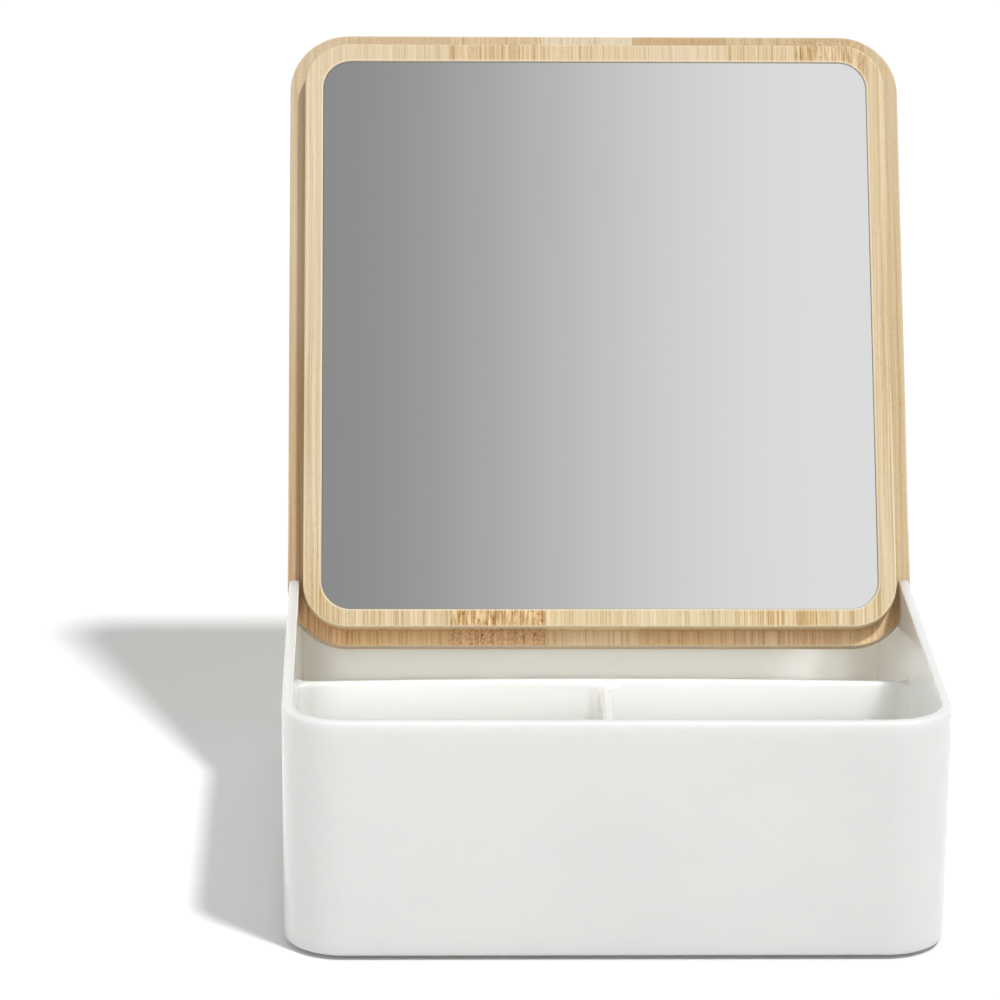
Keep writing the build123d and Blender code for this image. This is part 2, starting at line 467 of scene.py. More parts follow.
@dataclass(frozen=True)
class SandedEdgeHighlight:
    """The paler line round an edge of the lid: partly a sanded edge where the fibres end, partly a
    painted highlight.
    """

    solid_share: float = 0.5

    def group(self) -> NodeGroup:
        """Build the group that gives a line round one outline on the lid.

        Returns:
            The group, which gives the line's Mask.
        """
        sizes = numbers("Middle", "Half Width", "Half Length", "Corner Radius", "Reach")
        group = NodeGroup("sanded_edge_highlight", PLACE | sizes, numbers("Mask"))
        nodes, given = group.nodes, group.given
        x, y, _ = nodes.split(given["Position"])
        radius = given["Corner Radius"]
        half_width = nodes.minus(given["Half Width"], radius)
        half_length = nodes.minus(given["Half Length"], radius)
        across = nodes.minus(nodes.sum("ABSOLUTE", x), half_width)
        along = nodes.sum("ABSOLUTE", nodes.minus(y, given["Middle"]))
        along = nodes.minus(along, half_length)
        outer = nodes.join(nodes.sum("MAXIMUM", across, 0.0), nodes.sum("MAXIMUM", along, 0.0), 0.0)
        inner = nodes.sum("MINIMUM", nodes.sum("MAXIMUM", across, along), 0.0)
        off = nodes.sum("ADD", nodes.vector("LENGTH", outer), nodes.minus(inner, radius))
        share = nodes.sum("DIVIDE", nodes.sum("ABSOLUTE", off), given["Reach"])
        group.give(Mask=nodes.spread(share, self.solid_share, 1.0, 1.0, 0.0))
        return group


@dataclass(frozen=True)
class GlueLine:
    """The thin dark line where two bamboo strips are glued edge to edge."""

    width: float = 0.00016
    patch_grain: Numbers = (0.01, 0.011, 0.01)
    patch_levels: Numbers = (0.35, 0.6)
    faintest: float = 0.25

    def group(self) -> NodeGroup:
        """Build the group that gives the lines at a strip's left and right edges.

        Returns:
            The group, which gives the lines' Mask.
        """
        group = NodeGroup("glue_line", PLACE | numbers("Left", "Right"), numbers("Mask"))
        nodes, given = group.nodes, group.given
        x, _, _ = nodes.split(given["Position"])
        left = nodes.sum("ABSOLUTE", nodes.minus(x, given["Left"]))
        right = nodes.sum("ABSOLUTE", nodes.minus(x, given["Right"]))
        line = nodes.spread(nodes.sum("MINIMUM", left, right), self.width / 2, self.width, 1.0, 0.0)
        patchy = nodes.cloud(given["Position"], self.patch_grain)
        patchy = nodes.spread(patchy, *self.patch_levels, self.faintest, 1.0)
        group.give(Mask=nodes.times(line, patchy))
        return group


@dataclass(frozen=True)
class Handling:
    """What hands and cloths leave on a smooth surface: faint smears and a few short scuffs."""

    smear: float = 0.05
    scuff: float = 0.0005
    scuff_length: float = 0.004
    scuff_patch: float = 0.016
    scuff_turn: Numbers = (0.3, 0.5, 0.7)
    smear_levels: Numbers = (0.25, 0.75)
    scuff_levels: Numbers = (0.68, 0.76)
    patch_levels: Numbers = (0.62, 0.70)

    def group(self) -> NodeGroup:
        """Build the group that gives the marks of handling.

        Returns:
            The group, which gives the Smears' strength, 0 to 1, and the Scuffs' mask.
        """
        group = NodeGroup("handling", PLACE | numbers("Seed"), numbers("Smears", "Scuffs"))
        nodes, given = group.nodes, group.given
        place = nodes.vector("ADD", given["Position"], nodes.join(given["Seed"], 0.0, 0.0))
        smears = nodes.spread(nodes.cloud(place, (self.smear,) * 3, 2.0, 0.4), *self.smear_levels)
        turn = {"Vector": place, "Rotation": self.scuff_turn}
        turned = nodes.add("ShaderNodeMapping", turn).outputs[0]
        lines = nodes.cloud(turned, (self.scuff_length, self.scuff, self.scuff), 1.0)
        lines = nodes.spread(lines, *self.scuff_levels)
        patches = nodes.spread(nodes.cloud(place, (self.scuff_patch,) * 3, 1.0), *self.patch_levels)
        group.give(Smears=smears, Scuffs=nodes.times(lines, patches))
        return group


class Effects:
    """The shader groups, each built once."""

    def __init__(self) -> None:
        """Build every group."""
        self.axes = LidAxes()
        self.place_on_lid = self.axes.group()
        self.fibres = BambooFibres().group()
        self.knots = CulmKnots().group()
        self.glue_line = GlueLine().group()
        self.sanded_edge_highlight = SandedEdgeHighlight().group()
        self.handling = Handling().group()

    def lid_place(self, finish: Finish) -> Socket:
        """The place on the lid, in a finish."""
        return self.place_on_lid.place(finish.nodes, finish.place)["Position"]


@cache
def shared() -> Effects:
    """The shader groups, built when the first finish asks for them."""
    return Effects()


# ---- Tub ----
@dataclass(frozen=True)
class MouldedPlastic:
    """White injection-moulded plastic with a soft gloss."""

    white: Numbers = screen(243, 244, 239)
    shade: Numbers = screen(240, 241, 238)
    scuffed: Numbers = screen(200, 198, 192)
    flow_grain: Numbers = (0.05, 0.05, 0.02)
    flow_levels: Numbers = (0.3, 0.7)
    seed: float = 3.0
    scuff_share: float = 0.35
    roughness: float = 0.32
    smear_roughness: float = 0.03
    scuff_roughness: float = 0.2
    ripple: float = 0.0016
    ripple_depth: float = 0.00002

    def material(self) -> bpy.types.Material:
        """Build the plastic.

        Returns:
            The material.
        """
        made = Finish(
            "white_moulded_plastic",
            IOR=1.49,
            Coat_Weight=0.85,
            Coat_Roughness=0.06,
            Subsurface_Weight=0.85,
            Subsurface_Radius=(1.0, 0.94, 0.82),
            Subsurface_Scale=0.0075,
        )
        nodes = made.nodes
        marks = shared().handling.place(nodes, made.place, seed=self.seed)
        flow = nodes.spread(nodes.cloud(made.place, self.flow_grain), *self.flow_levels)
        colour = nodes.mix(flow, self.white, self.shade)
        scuffs = nodes.times(marks["Scuffs"], self.scuff_share)
        made.drive("Base Color", nodes.mix(scuffs, colour, self.scuffed))
        rough = nodes.sum("MULTIPLY_ADD", marks["Smears"], self.smear_roughness, self.roughness)
        rough = nodes.sum("MULTIPLY_ADD", marks["Scuffs"], self.scuff_roughness, rough)
        made.drive("Roughness", rough)
        made.relief(nodes.cloud(made.place, (self.ripple,) * 3, 3.0, 0.6), self.ripple_depth, 0.5)
        return made.material


@dataclass(frozen=True)
class Tub:
    """The white tub: outer walls, floor, plinth and dividers in one moulding."""

    node: str = "box_tub"
    plastic: MouldedPlastic = MouldedPlastic()

    def dress(self) -> None:
        """Give the moulding its plastic."""
        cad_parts[self.node].material_slots[0].material = self.plastic.material()
        LOG.info("%s: white moulded plastic", self.node)


# ---- Lid ----
@dataclass(frozen=True)
class Knot:
    """One knot band on a strip, in the lid's own axes."""

    middle: float
    reach: float
    left: float
    right: float
    strength: float = 1.0
    flecks: float = 1.5
    tint: Numbers = (0.93, 0.83, 0.70, 1.0)

    def band(self) -> dict[str, float]:
        """Where the band lies."""
        return {"middle": self.middle, "reach": self.reach, "left": self.left, "right": self.right}


@dataclass(frozen=True)
class Tone:
    """A layer's colour as a screen shows it, at the lid's low end and, if it differs, high end."""

    low: Numbers
    high: Numbers | None = None
    low_level: float = 0.012
    high_level: float = 0.160

    def along(self, nodes: Nodes, level: Given) -> Socket:
        """The linear colour at a level up the lid's slope."""
        share = nodes.spread(level, self.low_level, self.high_level)
        return nodes.mix(share, screen(*self.low), screen(*(self.high or self.low)))


@dataclass(frozen=True)
class Outline:
    """One rounded outline on the lid, and how far and how strongly its pale edge line shows: a
    sanded edge with painted highlight.

    The strengths and the colours stand for the lid's low and high ends. Nothing shows behind the
    floor, which is a level out of the lid's mirror side; on the raised middle the floor keeps the
    pale line off the lower part of its side, which shows painted contact shade.
    """

    half_width: float
    half_length: float
    corner_radius: float
    reach: float
    low: float
    high: float
    floor: float = -0.1
    low_pale: Numbers = screen(250, 234, 204)
    high_pale: Numbers = screen(250, 234, 204)


@dataclass(frozen=True)
class BambooStrip:
    """One bamboo strip of the lid, with its tones in the raised middle and in the flange, and a
    warm foot tone that paints bounced light at the flange's low end.
    """

    number: int
    raised: Tone
    flange: Tone
    # The foot tone paints the warm bounced light that falls in the raised middle's shadow at the
    # flange's low end.
    foot_painted_bounce: Numbers
    streaks: tuple[float, float]
    knots: tuple[Knot, ...] = ()
    half_width: float = 0.0854
    strip_width: float = 0.0259
    trim_left: float = 0.0073
    seed_step: float = 1.7
    knot_seed_share: float = 0.01
    bundle_width: float = 0.0008
    fibre_length: float = 0.16
    swing: Numbers = (0.14, 0.20, 0.29)
    milling: Numbers = (0.0006, 0.0007, 0.0006)
    milled_levels: Numbers = (0.3, 0.7)
    milled_tone: float = 0.22
    painted_bounce_levels: Numbers = (0.008, 0.020)
    streak_levels: Numbers = (0.01, 0.10)
    softer_levels: Numbers = (0.03, 0.16)
    softer: Numbers = (0.75, 0.6)
    sanded_highlight_levels: Numbers = (0.018, 0.08)
    pale_levels: Numbers = (0.018, 0.04)
    # The flange colour holds up to this level out of the mirror side, past the flange face: painted
    # contact shade on the lower part of the raised middle's side.
    flange_and_painted_shade_up_to: float = 0.0029
    back_face: float = -0.0041
    blend: float = 0.0005
    tangled_share: float = 0.8
    glue: Numbers = screen(160, 122, 80)
    glue_share: float = 0.3
    glue_depth: float = 0.8
    roughness: float = 0.44
    tone_roughness: float = -0.05
    smear_roughness: float = 0.08
    pore_levels: Numbers = (-1.5, 1.0)
    pore_depth: float = 0.00006
    middle: float = 0.0879
    # The low strengths and low colours paint highlights and light from below on the flange's lower
    # edge and the step's lower side.
    edges: tuple[Outline, ...] = (
        Outline(0.0854, 0.0879, 0.0164, 0.0006, 0.9, 0.25, low_pale=screen(214, 192, 158)),
        Outline(0.0811, 0.0836, 0.0121, 0.0007, 0.8, 0.05, 0.0031, low_pale=screen(250, 232, 198)),
        Outline(0.0761, 0.0786, 0.0079, 0.0007, 0.65, 0.65, 0.0031),
    )

    @property
    def node(self) -> str:
        """The strip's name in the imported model."""
        return f"lid_stave_{self.number}"

    @property
    def seed(self) -> float:
        """What makes this strip's pattern its own."""
        return self.seed_step * self.number

    @property
    def left(self) -> float:
        """The place of its left glue line."""
        return -self.half_width - self.trim_left + (self.number - 1) * self.strip_width

    def layers(self, nodes: Nodes, level: Given, depth: Given) -> tuple[Socket, Socket]:
        """Tell the two faces from the flange, and give the bamboo's mean colour, with painted
        bounce light at the flange's low end.

        Args:
            nodes: The material's nodes.
            level: How far up the lid's slope.
            depth: How far out of the lid's mirror side.

        Returns:
            1 on the raised face and on the back, 0 on the flange, and the colour.
        """
        at_back = nodes.spread(depth, self.back_face, self.back_face + self.blend, 1.0, 0.0)
        # The flange colour reaches up the lower part of the raised middle's side, as painted
        # contact shade along the step.
        on_face = nodes.spread(depth, self.flange_and_painted_shade_up_to, self.flange_and_painted_shade_up_to + self.blend)
        on_face = nodes.sum("MAXIMUM", on_face, at_back)
        # At the low end the flange takes the foot tone, a painted warm bounce light in the raised
        # middle's shadow.
        lifted = nodes.spread(level, *self.painted_bounce_levels)
        behind = nodes.mix(lifted, screen(*self.foot_painted_bounce), self.flange.along(nodes, level))
        return on_face, nodes.mix(on_face, behind, self.raised.along(nodes, level))

    def grain(self, nodes: Nodes, place: Given, on_face: Given) -> Socket:
        """Give the fibres' tone, with the strip's own contrast and the flange's milling marks.

        Args:
            nodes: The material's nodes.
            place: The place on the lid.
            on_face: 1 on the two faces, 0 on the flange.

        Returns:
            The tone, about -1 dark to 1 pale.
        """
        _, level, _ = nodes.split(place)
        sizes = {"bundle_width": self.bundle_width, "fibre_length": self.fibre_length}
        fibres = shared().fibres.place(nodes, place, seed=self.seed, **sizes)["Tone"]
        softer = nodes.spread(level, *self.softer_levels, *self.softer)
        streaks = nodes.spread(level, *self.streak_levels, *self.streaks)
        contrast = nodes.times(nodes.sum("MAXIMUM", on_face, softer), streaks)
        milled = nodes.cloud(place, self.milling)
        milled = nodes.spread(milled, *self.milled_levels, -self.milled_tone, self.milled_tone)
        milled = nodes.times(milled, nodes.minus(1.0, on_face))
        return nodes.sum("MULTIPLY_ADD", fibres, contrast, milled)

    def knotted(
        self, nodes: Nodes, place: Given, colour: Given, tone: Given
    ) -> tuple[Given, Given]:
        """Lay the strip's knots over its colour and its tone.

        Args:
            nodes: The material's nodes.
            place: The place on the lid.
            colour: The colour without knots.
            tone: The fibres' tone without knots.

        Returns:
            The colour and the tone with the knots.
        """
        for index, knot in enumerate(self.knots):
            seed = self.seed * self.knot_seed_share + index
            band = shared().knots.place(nodes, place, seed=seed, **knot.band())
            mask = nodes.times(band["Mask"], knot.strength)
            colour = nodes.mix(mask, colour, nodes.mix(1.0, colour, knot.tint, "MULTIPLY"))
            flecks = nodes.times(band["Flecks"], knot.flecks)
            tangled = nodes.sum("MULTIPLY_ADD", tone, self.tangled_share, flecks)
            plain = nodes.times(tone, nodes.minus(1.0, mask))
            tone = nodes.sum("MULTIPLY_ADD", tangled, mask, plain)
        return colour, tone

    def sanded_and_highlit(self, nodes: Nodes, place: Given, colour: Given) -> Given:
        """Lay the pale edge lines over the colour: sanded edges with a painted highlight, strongest
        at the low end, where the pale colours also paint light thrown up from below.

        Args:
            nodes: The material's nodes.
            place: The place on the lid.
            colour: The colour without them.

        Returns:
            The colour with the pale edge lines.
        """
        _, level, depth = nodes.split(place)
        for edge in self.edges:
            sizes = {"half_width": edge.half_width, "half_length": edge.half_length}
            sizes |= {"corner_radius": edge.corner_radius, "reach": edge.reach}
            mask = shared().sanded_edge_highlight.place(nodes, place, middle=self.middle, **sizes)["Mask"]
            strength = nodes.spread(level, *self.sanded_highlight_levels, edge.low, edge.high)
            in_front = nodes.spread(depth, edge.floor, edge.floor + self.blend)
            mask = nodes.times(mask, nodes.times(strength, in_front))
            pale = nodes.mix(nodes.spread(level, *self.pale_levels), edge.low_pale, edge.high_pale)
            colour = nodes.mix(mask, colour, pale)
        return colour

    def material(self) -> bpy.types.Material:
        """Build the strip's bamboo.

        Returns:
            The material.
        """
        made = Finish(f"{self.node}_bamboo", IOR=1.5, Coat_Weight=0.22, Coat_Roughness=0.22)
        nodes = made.nodes
        place = shared().lid_place(made)
        _, level, depth = nodes.split(place)
        on_face, colour = self.layers(nodes, level, depth)
        tone = self.grain(nodes, place, on_face)
        colour, tone = self.knotted(nodes, place, colour, tone)
        swing = nodes.vector("MULTIPLY_ADD", nodes.join(tone, tone, tone), self.swing, (1.0,) * 3)
        colour = nodes.vector("MULTIPLY", colour, swing)
        right = self.left + self.strip_width
        line = shared().glue_line.place(nodes, place, left=self.left, right=right)["Mask"]
        colour = nodes.mix(nodes.times(line, self.glue_share), colour, self.glue)
        made.drive("Base Color", self.sanded_and_highlit(nodes, place, colour))
        marks = shared().handling.place(nodes, place, seed=self.seed)
        rough = nodes.sum("MULTIPLY_ADD", tone, self.tone_roughness, self.roughness)
        rough = nodes.sum("MULTIPLY_ADD", marks["Smears"], self.smear_roughness, rough)
        made.drive("Roughness", rough)
        sunk = nodes.times(line, self.glue_depth)
        height = nodes.minus(nodes.spread(tone, *self.pore_levels), sunk)
        made.relief(height, self.pore_depth, 0.6)
        return made.material


@dataclass(frozen=True)
class BambooLid:
    """The board of seven bamboo strips, from left to right."""

    strips: tuple[BambooStrip, ...] = (
        # Tones were matched up the slope, so besides each strip's own tone they hold painted light:
        # most raised lows are paler to make up for less light at the low end.
        BambooStrip(
            1,
            raised=Tone((228, 203, 160), (229, 208, 172), 0.012, 0.045),
            # Strip 1's flange darkens towards its low end: painted shadow of the raised middle on
            # the left margin.
            flange=Tone((204, 173, 131), (217, 195, 161), 0.06, 0.12),
            foot_painted_bounce=(247, 203, 150),
            streaks=(1.3, 0.6),
        ),
        BambooStrip(
            2,
            raised=Tone((236, 212, 169), (228, 207, 169)),
            flange=Tone((213, 190, 151)),
            foot_painted_bounce=(245, 205, 152),
            streaks=(0.95, 0.45),
        ),
        BambooStrip(
            3,
            raised=Tone((234, 207, 160), (222, 193, 149)),
            flange=Tone((220, 198, 158)),
            foot_painted_bounce=(250, 216, 176),
            streaks=(1.3, 1.1),
            knots=(Knot(0.001, 0.015, -0.0409, -0.0150, flecks=1.9),),
        ),
        BambooStrip(
            4,
            raised=Tone((237, 213, 168), (226, 201, 158)),
            flange=Tone((228, 214, 187)),
            foot_painted_bounce=(252, 222, 178),
            streaks=(0.85, 0.8),
        ),
        BambooStrip(
            5,
            raised=Tone((237, 216, 174), (229, 207, 170)),
            flange=Tone((205, 175, 132)),
            foot_painted_bounce=(241, 203, 153),
            streaks=(0.8, 0.5),
        ),
        BambooStrip(
            6,
            raised=Tone((237, 210, 163), (222, 196, 152)),
            flange=Tone((213, 189, 149)),
            foot_painted_bounce=(240, 205, 160),
            streaks=(1.25, 1.05),
            knots=(
                Knot(0.169, 0.009, 0.0560, 0.0627, 0.6, 1.8),
                Knot(0.004, 0.009, 0.0530, 0.0627, 0.3, 0.6),
            ),
        ),
        BambooStrip(
            7,
            raised=Tone((233, 210, 168), (226, 203, 162), 0.008, 0.040),
            flange=Tone((214, 190, 149), (214, 192, 153)),
            foot_painted_bounce=(234, 199, 153),
            streaks=(1.05, 0.7),
            knots=(
                Knot(0.168, 0.010, 0.0627, 0.0765, 0.6, 1.8),
                Knot(0.004, 0.009, 0.0627, 0.0650, 0.3, 0.6),
                Knot(0.091, 0.0035, 0.0750, 0.0860, 0.15, 1.5),
                Knot(0.073, 0.006, 0.0750, 0.0860, 0.15, 1.5),
            ),
        ),
    )

    def dress(self) -> None:
        """Give every strip its own bamboo."""
        for strip in self.strips:
            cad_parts[strip.node].material_slots[0].material = strip.material()
            LOG.info("%s: bamboo with %d knots", strip.node, len(strip.knots))


# ---- Mirror ----
@dataclass(frozen=True)
class Silvering:
    """The mirror's bright face, with the faint smears of a wiped mirror."""

    silver: Numbers = (0.905, 0.918, 0.910, 1.0)
    smeared: Numbers = (0.90, 0.905, 0.905, 1.0)
    seed: float = 11.0
    roughness: float = 0.012
    smear_roughness: float = 0.012

    def material(self) -> bpy.types.Material:
        """Build the silver.

        Returns:
            The material.
        """
        made = Finish("silvered_glass", Metallic=1.0)
        nodes = made.nodes
        smears = shared().handling.place(nodes, shared().lid_place(made), seed=self.seed)["Smears"]
        made.drive("Base Color", nodes.mix(smears, self.silver, self.smeared))
        rough = nodes.sum("MULTIPLY_ADD", smears, self.smear_roughness, self.roughness)
        made.drive("Roughness", rough)
        return made.material


@dataclass(frozen=True)
class GroundGlass:
    """The ground edge of the glass, green in its depth."""

    deep: Numbers = screen(186, 206, 196)
    pale: Numbers = screen(214, 228, 220)
    grit: float = 0.0004
    grit_depth: float = 0.00003

    def material(self) -> bpy.types.Material:
        """Build the ground edge.

        Returns:
            The material.
        """
        made = Finish("ground_glass_edge", IOR=1.52, Roughness=0.35)
        grain = made.nodes.cloud(shared().lid_place(made), (self.grit,) * 3)
        made.drive("Base Color", made.nodes.mix(grain, self.deep, self.pale))
        made.relief(grain, self.grit_depth, 0.5)
        return made.material


@dataclass(frozen=True)
class BackingPaint:
    """The grey paint that guards the silver on the back of the glass."""

    thick: Numbers = screen(116, 122, 126)
    thin: Numbers = screen(140, 146, 150)
    grain: float = 0.003
    grain_levels: Numbers = (0.3, 0.7)
    roughness: Numbers = (0.45, 0.62)
    grain_depth: float = 0.00004

    def material(self) -> bpy.types.Material:
        """Build the paint.

        Returns:
            The material.
        """
        made = Finish("mirror_backing_paint", IOR=1.5)
        film = made.nodes.cloud(shared().lid_place(made), (self.grain,) * 3, 3.0, 0.6)
        made.drive("Base Color", made.nodes.mix(film, self.thick, self.thin))
        made.drive("Roughness", made.nodes.spread(film, *self.grain_levels, *self.roughness))
        made.relief(film, self.grain_depth, 0.4)
        return made.material


@dataclass(frozen=True)
class MirrorPlate:
    """The mirror: a rounded plate of glass with ground edges, silvered and painted."""

    width: float = 0.1521
    length: float = 0.1571
    corner_radius: float = 0.0079
    thickness: float = 0.0020
    ground_edge: float = 0.00008
    corner_steps: int = 24
    lid_length: float = 0.1758
    back_level: float = 0.0027
    merged_within: float = 0.000005
    flat_from: float = 0.9

    def sizes(self) -> dict[str, float]:
        """The sizes that the plate's tree takes, by the names of its inputs."""
        return {
            "Width": self.width,
            "Length": self.length,
            "Corner Radius": self.corner_radius,
            "Thickness": self.thickness,
            "Ground Edge": self.ground_edge,
            "Corner Steps": self.corner_steps,
        }

    def tree(self, materials: list[bpy.types.Material]) -> bpy.types.NodeTree:
        """Build the plate's geometry nodes: its outline, three bands round it and two faces.

        Args:
            materials: The ground edge's, the bright face's and the back's.

        Returns:
            The tree, with an input for each size.
        """
        sizes = numbers(*self.sizes()) | {"Corner Steps": SocketKind.COUNT}
        group = NodeGroup("mirror_plate", GEOMETRY | sizes, GEOMETRY, "GeometryNodeTree")
        tree, nodes, given = group.tree, group.nodes, group.given
        inset = given["Ground Edge"]

        twice = nodes.times(inset, 2.0)
        sides = {
            "Width": nodes.minus(given["Width"], twice),
            "Height": nodes.minus(given["Length"], twice),
        }
        outline = nodes.add("GeometryNodeCurvePrimitiveQuadrilateral", sides).outputs["Curve"]
        radius = nodes.minus(given["Corner Radius"], inset)
        rounding = {"Curve": outline, "Radius": radius, "Count": given["Corner Steps"]}
        outline = nodes.add("GeometryNodeFilletCurve", rounding, mode="POLY").outputs["Curve"]

        shoulder = nodes.minus(given["Thickness"], inset)
        corners = [
            nodes.join(0.0, 0.0, 0.0),
            nodes.join(inset, inset, 0.0),
            nodes.join(inset, shoulder, 0.0),
            nodes.join(0.0, given["Thickness"], 0.0),
        ]
        parts = []
        for low, high in zip(corners, corners[1:]):
            line = nodes.add("GeometryNodeCurvePrimitiveLine", {"Start": low, "End": high})
            curves = {"Curve": outline, "Profile Curve": line.outputs["Curve"]}
            parts.append(nodes.add("GeometryNodeCurveToMesh", curves).outputs["Mesh"])
        face = nodes.add("GeometryNodeFillCurve", {"Curve": outline}).outputs["Mesh"]
        parts.append(nodes.add("GeometryNodeFlipFaces", {"Mesh": face}).outputs["Mesh"])
        lift = {"Geometry": face, "Translation": nodes.join(0.0, 0.0, given["Thickness"])}
        parts.append(nodes.add("GeometryNodeTransform", lift).outputs["Geometry"])

        joined = nodes.add("GeometryNodeJoinGeometry")
        for part in parts:
            tree.links.new(part, joined.inputs["Geometry"])
        merging = {"Geometry": joined.outputs["Geometry"], "Distance": self.merged_within}
        merged = nodes.add("GeometryNodeMergeByDistance", merging).outputs["Geometry"]
        shaded = nodes.add("GeometryNodeRealizeInstances", {"Geometry": merged}).outputs["Geometry"]

        _, _, facing = nodes.split(nodes.add("GeometryNodeInputNormal").outputs["Normal"])
        ahead, behind = {"A": facing, "B": self.flat_from}, {"A": facing, "B": -self.flat_from}
        front = nodes.add("FunctionNodeCompare", ahead, operation="GREATER_THAN").outputs["Result"]
        back = nodes.add("FunctionNodeCompare", behind, operation="LESS_THAN").outputs["Result"]
        for material, where in zip(materials, (True, front, back)):
            setting = {"Geometry": shaded, "Selection": where, "Material": material}
            shaded = nodes.add("GeometryNodeSetMaterial", setting).outputs["Geometry"]
        group.give(Geometry=shaded)
        return tree

    def build(self) -> bpy.types.Object:
        """Make the plate, put it in its pocket and let it ride on the lid.

        Returns:
            The finished piece.
        """
        finishes = (GroundGlass(), Silvering(), BackingPaint())
        tree = self.tree([finish.material() for finish in finishes])
        maker = add_object("mirror_plate_maker", bpy.data.meshes.new("mirror_plate_maker"))
        modifier = maker.modifiers.new("plate", "NODES")
        modifier.node_group = tree
        for item in tree.interface.items_tree:
            if item.in_out == "INPUT" and item.name in self.sizes():
                modifier[item.identifier] = self.sizes()[item.name]
        bpy.context.view_layer.update()
        graph = bpy.context.evaluated_depsgraph_get()
        made = maker.evaluated_get(graph)
        mesh = bpy.data.meshes.new_from_object(made, preserve_all_data_layers=True, depsgraph=graph)
        bpy.data.objects.remove(maker)

        mesh.name = "mirror_plate"
        seat = Matrix.Translation((0.0, self.lid_length / 2, self.back_level))
        mesh.transform(shared().axes.matrix() @ seat)
        plate = add_object("mirror_plate", mesh)
        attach(plate, Body.LID.value)
        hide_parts("mirror_glass")
        LOG.info("mirror_plate: %d faces, stands for mirror_glass", len(mesh.polygons))
        return plate


@dataclass(frozen=True)
class MountingTape:
    """The strips of foam tape between the mirror and the bottom of its pocket."""

    nodes: tuple[str, ...] = ("mirror_tape_left", "mirror_tape_centre", "mirror_tape_right")
    foam: Numbers = screen(226, 226, 222)
    cell_wall: Numbers = screen(198, 198, 192)
    cell: float = 0.0004
    cell_depth: float = 0.00006

    def dress(self) -> None:
        """Give the strips their foam."""
        made = Finish("foam_tape", IOR=1.45, Roughness=0.8)
        place = shared().lid_place(made)
        inputs = {"Vector": made.nodes.vector("DIVIDE", place, (self.cell,) * 3), "Scale": 1.0}
        cells = made.nodes.add("ShaderNodeTexVoronoi", inputs).outputs["Distance"]
        made.drive("Base Color", made.nodes.mix(cells, self.foam, self.cell_wall))
        made.relief(cells, self.cell_depth, 0.6)
        for name in self.nodes:
            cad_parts[name].material_slots[0].material = made.material
            LOG.info("%s: foam tape", name)


# ---- Studio ----
@dataclass(frozen=True)
class FillLamp:
    """A soft lamp behind a honeycomb, whose narrow light brightens a compartment and no more."""

    name: str
    place: Numbers
    aim: Numbers
    width: float
    depth: float
    watts: float
    spread: float

    def build(self) -> None:
        """Hang the lamp, out of sight of the camera and of the mirror."""
        data = bpy.data.lights.new(self.name, "AREA")
        data.shape = "RECTANGLE"
        data.size, data.size_y = self.width, self.depth
        data.spread = math.radians(self.spread)
        data.energy = self.watts
        lamp = add_object(self.name, data)
        lamp.location = self.place
        lamp.rotation_mode = "QUATERNION"
        lamp.rotation_quaternion = (Vector(self.place) - Vector(self.aim)).to_track_quat("Z", "Y")
        lamp.visible_camera = lamp.visible_glossy = False


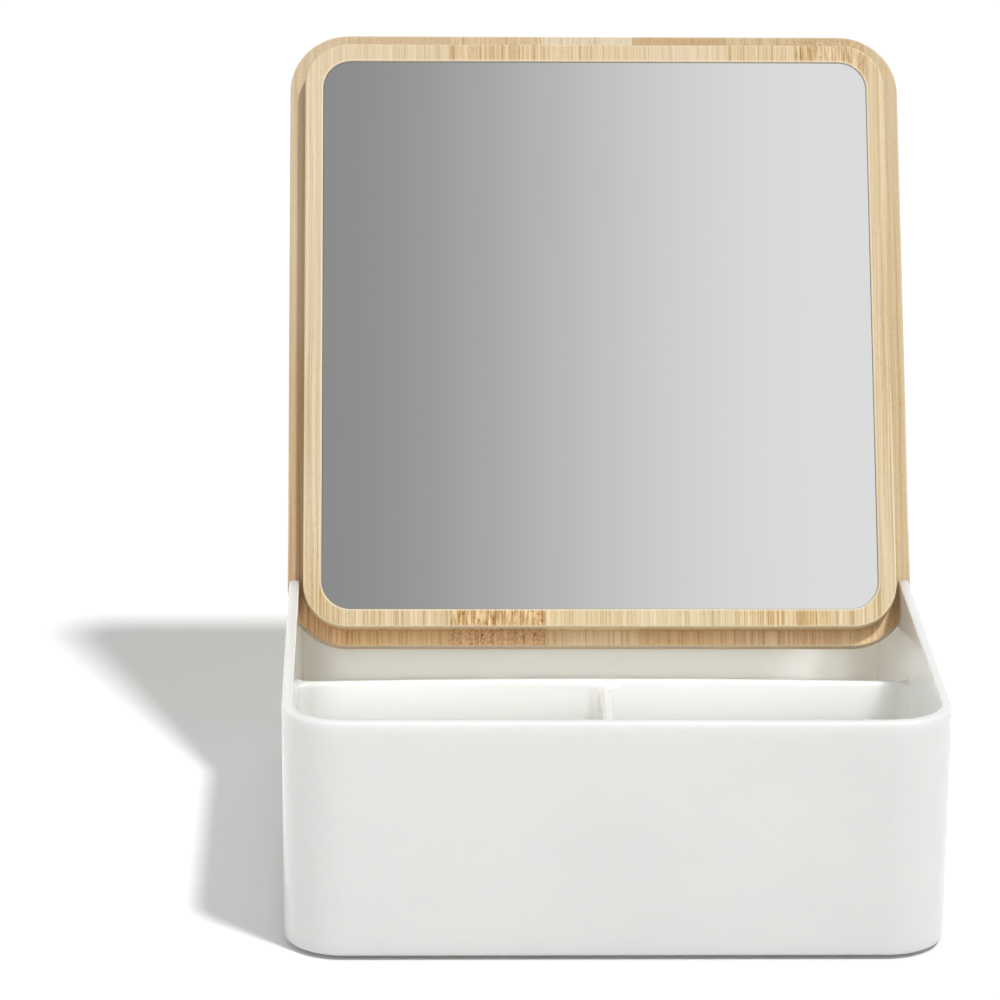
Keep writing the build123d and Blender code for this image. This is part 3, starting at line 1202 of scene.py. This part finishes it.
@dataclass(frozen=True)
class Studio:
    """A white floor and surround, which is graded in reflections, a key lamp and fill lamps.

    The key lamp stands at the right, in front and above. Narrow fill lamps light the compartments.
    """

    key_from: Numbers = (0.376, -0.378, 1.0)
    key_strength: float = 1.93
    key_angle: float = 5.8
    fill: float = 0.30
    fill_left: float = 0.28
    fill_back: float = 0.45
    floor_half: float = 6.0
    reflected_dark: float = 0.285
    reflected_pale: float = 0.785
    reflected_round: float = 0.85
    reflected_from: float = -0.018
    reflected_to: float = 0.097
    mirror_looks: Numbers = (0.026, -0.716, 0.698)
    card_levels: Numbers = (0.93, 0.985)
    left_levels: Numbers = (0.6, -0.9)
    back_levels: Numbers = (0.1, 0.9)
    first_bounce: float = 2.5
    floor_level: float = -0.0001
    floor_bounce: Numbers = (0.80, 0.80, 0.80, 1.0)
    fill_lamps: tuple[FillLamp, ...] = (
        FillLamp(
            "front_fill", (0.0, -0.2862, 0.1438), (0.0, -0.0025, 0.0461), 0.152, 0.019, 0.0036, 3.0
        ),
        FillLamp("top_fill", (0.0, -0.14, 0.45), (0.0, -0.045, 0.04), 0.13, 0.03, 0.0022, 3.5),
        FillLamp(
            "rear_fill", (-0.006, 0.263, 0.409), (-0.006, 0.028, 0.003), 0.136, 0.03, 0.007, 5.0
        ),
    )

    def build_floor(self) -> None:
        """Make the floor, which looks white where nothing shades it and gives plain light back."""
        half = self.floor_half
        mesh = bpy.data.meshes.new("studio_floor")
        square = ((-half, -half), (half, -half), (half, half), (-half, half))
        mesh.from_pydata([(x, y, self.floor_level) for x, y in square], [], [(0, 1, 2, 3)])
        floor = add_object("studio_floor", mesh)
        material = bpy.data.materials.new("studio_floor")
        material.use_nodes = True
        nodes = Nodes(material.node_tree)
        nodes.tree.nodes.remove(nodes.tree.nodes["Principled BSDF"])
        path = nodes.add("ShaderNodeLightPath").outputs
        seen = nodes.sum("MAXIMUM", path["Is Glossy Ray"], path["Is Transmission Ray"])
        seen = nodes.sum("MAXIMUM", path["Is Camera Ray"], seen)
        colour = nodes.mix(seen, self.floor_bounce, WHITE)
        surface = nodes.add("ShaderNodeBsdfDiffuse", {"Color": colour}).outputs[0]
        nodes.feed(nodes.tree.nodes["Material Output"].inputs["Surface"], surface)
        mesh.materials.append(material)
        floor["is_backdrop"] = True

    def build_world(self) -> None:
        """Make the surround: white to the camera, soft light all round, graded in reflections."""
        world = bpy.data.worlds.new("studio")
        bpy.context.scene.world = world
        world.use_nodes = True
        nodes = Nodes(world.node_tree)
        path = nodes.add("ShaderNodeLightPath").outputs
        towards = nodes.add("ShaderNodeTexCoord").outputs["Generated"]
        across, away, _ = nodes.split(towards)
        ends = (self.reflected_from, self.reflected_to, self.reflected_dark, self.reflected_pale)
        graded = nodes.spread(across, *ends)
        near = nodes.vector("DOT_PRODUCT", towards, self.mirror_looks)
        near = nodes.spread(near, *self.card_levels)
        card = nodes.times(near, nodes.minus(graded, self.reflected_round))
        reflected = nodes.sum("ADD", self.reflected_round, card)
        left = nodes.spread(across, *self.left_levels, 0.0, self.fill_left)
        back = nodes.spread(away, *self.back_levels, self.fill, self.fill + self.fill_back)
        fill = nodes.sum("ADD", left, back)
        first = nodes.sum("LESS_THAN", path["Ray Depth"], self.first_bounce)
        gloss = nodes.times(path["Is Glossy Ray"], first)
        lit = nodes.times(fill, nodes.minus(1.0, gloss))
        level = nodes.sum("MULTIPLY_ADD", reflected, gloss, lit)
        white = nodes.sum("MAXIMUM", path["Is Camera Ray"], path["Is Transmission Ray"])
        background = world.node_tree.nodes["Background"].inputs
        nodes.feed(background["Strength"], nodes.sum("MAXIMUM", level, white))
        background["Color"].default_value = WHITE

    def build_key(self) -> None:
        """Hang the key lamp at the right, in front and above."""
        lamp = bpy.data.lights.new("key_lamp", "SUN")
        lamp.energy = self.key_strength
        lamp.angle = math.radians(self.key_angle)
        key = add_object("key_lamp", lamp)
        key.rotation_mode = "QUATERNION"
        key.rotation_quaternion = Vector(self.key_from).to_track_quat("Z", "Y")

    def build(self) -> None:
        """Build the floor, the surround and the lamps."""
        self.build_floor()
        self.build_world()
        self.build_key()
        for lamp in self.fill_lamps:
            lamp.build()
        bpy.context.scene.view_settings.view_transform = "Standard"
        LOG.info("studio: floor, surround, key lamp and %d fill lamps", len(self.fill_lamps))


@dataclass(frozen=True)
class Viewpoint:
    """Where the photograph was taken from."""

    place: Numbers = (-0.05935, -1.18568, 0.45301)
    turn: float = 1.503
    dip: float = 16.761
    roll: float = 0.480
    lens: float = 167.78

    def build(self) -> None:
        """Make the camera and look through it."""
        turn, dip, roll = (math.radians(angle) for angle in (self.turn, self.dip, self.roll))
        ahead = Vector((math.sin(turn), math.cos(turn), 0.0))
        forward = ahead * math.cos(dip) - Vector((0.0, 0.0, math.sin(dip)))
        right = Vector((math.cos(turn), -math.sin(turn), 0.0))
        up = right.cross(forward)
        rolled = right * math.cos(roll) + up * math.sin(roll)
        right, up = rolled, up * math.cos(roll) - right * math.sin(roll)
        data = bpy.data.cameras.new("camera")
        data.sensor_width = 36.0
        data.lens = self.lens
        data.clip_start, data.clip_end = 0.05, 50.0
        camera = add_object("camera", data)
        axes = Matrix((right, up, -forward)).transposed()
        camera.matrix_world = Matrix.Translation(self.place) @ axes.to_4x4()
        bpy.context.scene.camera = camera
        LOG.info("camera: %.1f mm lens", self.lens)


def corners() -> list[list[float]]:
    """The lowest and highest corner of what shows, as plain numbers."""
    return [[round(part, 6) for part in corner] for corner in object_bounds()]


def main() -> None:
    """Build the looks in order."""
    logging.basicConfig(level=logging.INFO, format="%(name)s: %(message)s")
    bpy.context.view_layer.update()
    Tub().dress()
    BambooLid().dress()
    MountingTape().dress()
    MirrorPlate().build()
    Studio().build()
    Viewpoint().build()


if __name__ == "__main__":
    main()
